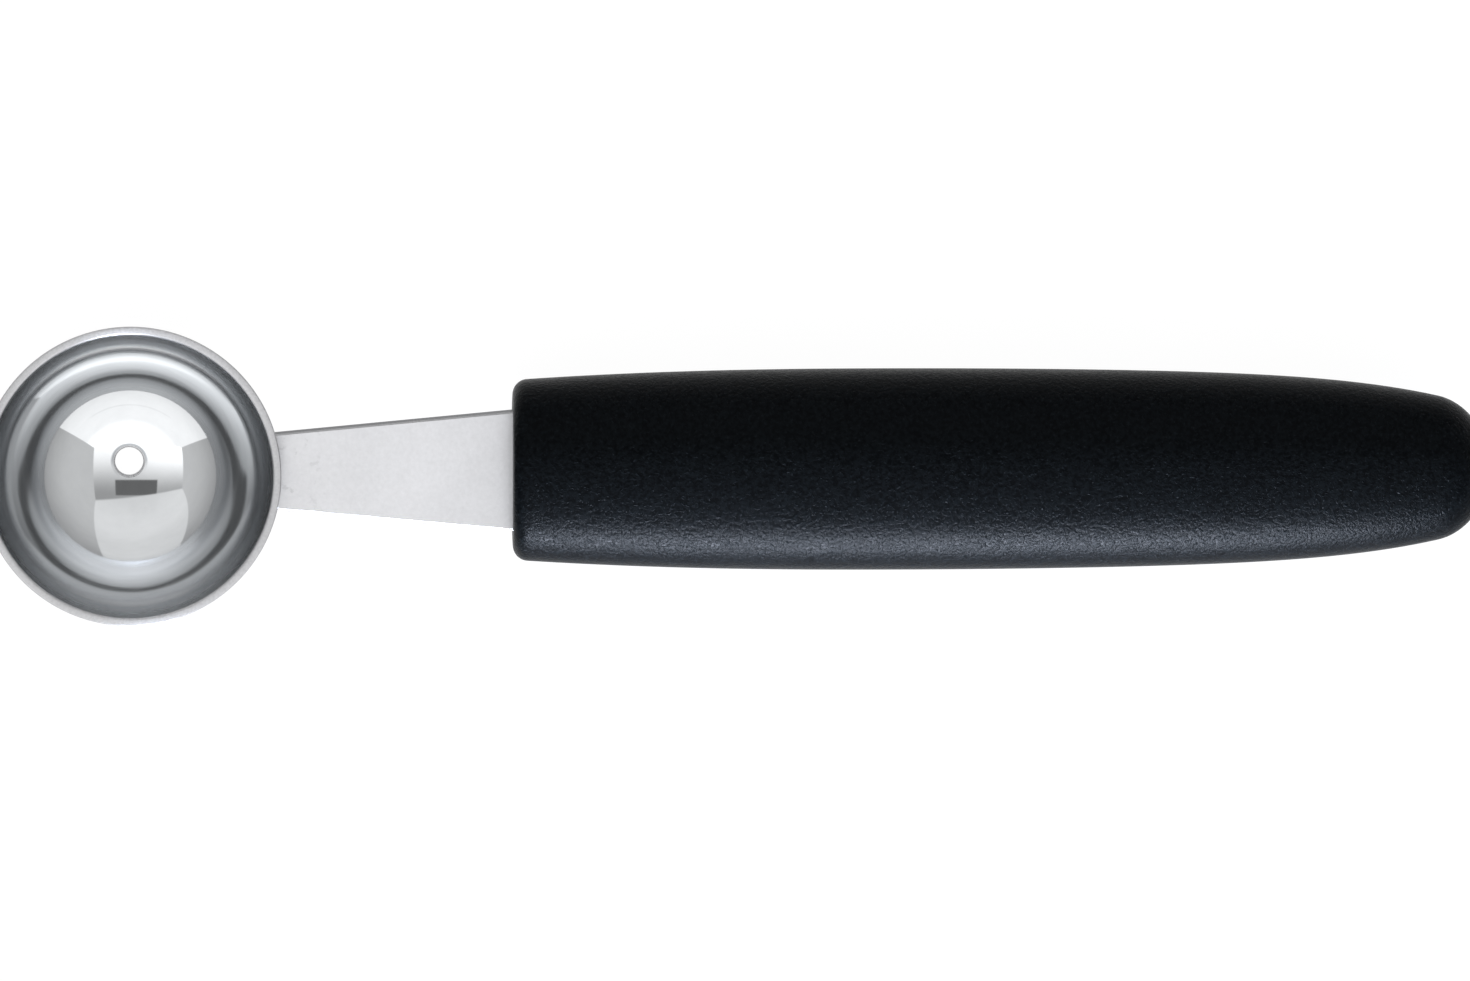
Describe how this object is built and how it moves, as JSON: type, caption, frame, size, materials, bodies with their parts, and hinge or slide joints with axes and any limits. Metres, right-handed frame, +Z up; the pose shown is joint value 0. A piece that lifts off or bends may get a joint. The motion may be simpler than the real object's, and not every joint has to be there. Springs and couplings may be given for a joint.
{
  "type": "melon baller",
  "caption": "Melon baller: a polished steel scoop bowl with a vent hole, welded to a flat tapered neck set in an oval black soft-grip handle.",
  "frame": {"origin": "centre of the footprint at the height of the table: the lowest point of the bowl and of the handle", "axes": "+X along the tool from the bowl to the butt of the handle, +Y across it, +Z up out of the open bowl"},
  "size_m": [0.15, 0.03, 0.016],
  "materials": {
    "polished_steel": "polished",
    "satin_steel": "satin",
    "weld_steel": "satin",
    "core_plastic": "satin",
    "grip_rubber": "satin"
  },
  "bodies": {
    "root": {"scoop_bowl": "polished_steel", "shank": "satin_steel", "weld_bead": "weld_steel", "handle_core": "core_plastic", "grip": "grip_rubber"}
  },
  "joints": []
}
